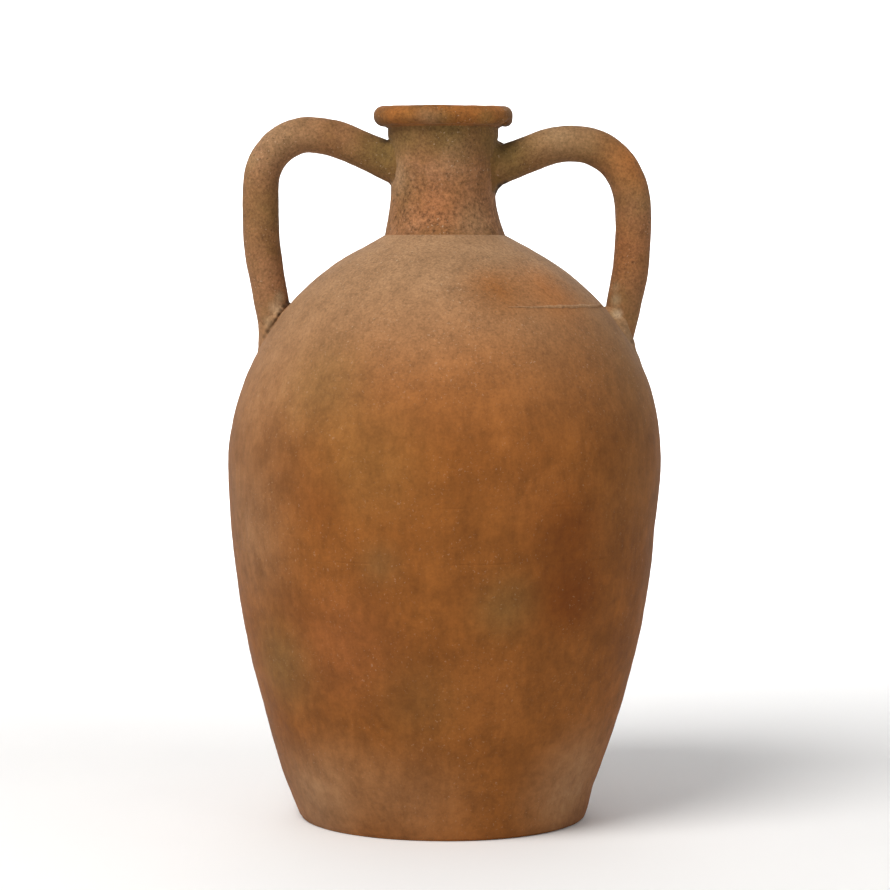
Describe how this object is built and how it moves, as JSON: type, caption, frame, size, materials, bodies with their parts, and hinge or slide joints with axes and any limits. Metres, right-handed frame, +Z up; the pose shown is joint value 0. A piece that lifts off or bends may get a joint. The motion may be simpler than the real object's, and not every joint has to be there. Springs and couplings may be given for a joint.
{
  "type": "amphora",
  "caption": "Tall egg-shaped terracotta jar with a flat base, a short neck, a rolled rim and a rod handle on each side from neck to shoulder.",
  "frame": {"origin": "centre of the flat underside", "axes": "+Z up along the jar's axis, the handles on -X and +X, the front towards -Y"},
  "size_m": [0.305, 0.305, 0.5],
  "materials": {
    "wall_clay": "unglazed terracotta, matte, sandy",
    "floor_clay": "unglazed terracotta, matte, sandy",
    "neck_clay": "unglazed terracotta, matte, with coarse dark and light grains",
    "rim_clay": "unglazed terracotta, matte, sandy",
    "handle_clay": "unglazed terracotta, matte, pitted, orange where it is worn",
    "luting_slip": "dried clay slip, matte, paler than the body"
  },
  "bodies": {
    "root": {"base_slab": "wall_clay", "floor_coil": "floor_clay", "lower_wall": "wall_clay", "belly_wall": "wall_clay", "shoulder_dome": "wall_clay", "shoulder_seam_bead": "luting_slip", "neck": "neck_clay", "rim_roll": "rim_clay", "handle_left": "handle_clay", "handle_right": "handle_clay", "neck_luting_left": "luting_slip", "neck_luting_right": "luting_slip", "shoulder_luting_left": "luting_slip", "shoulder_luting_right": "luting_slip"}
  },
  "joints": []
}
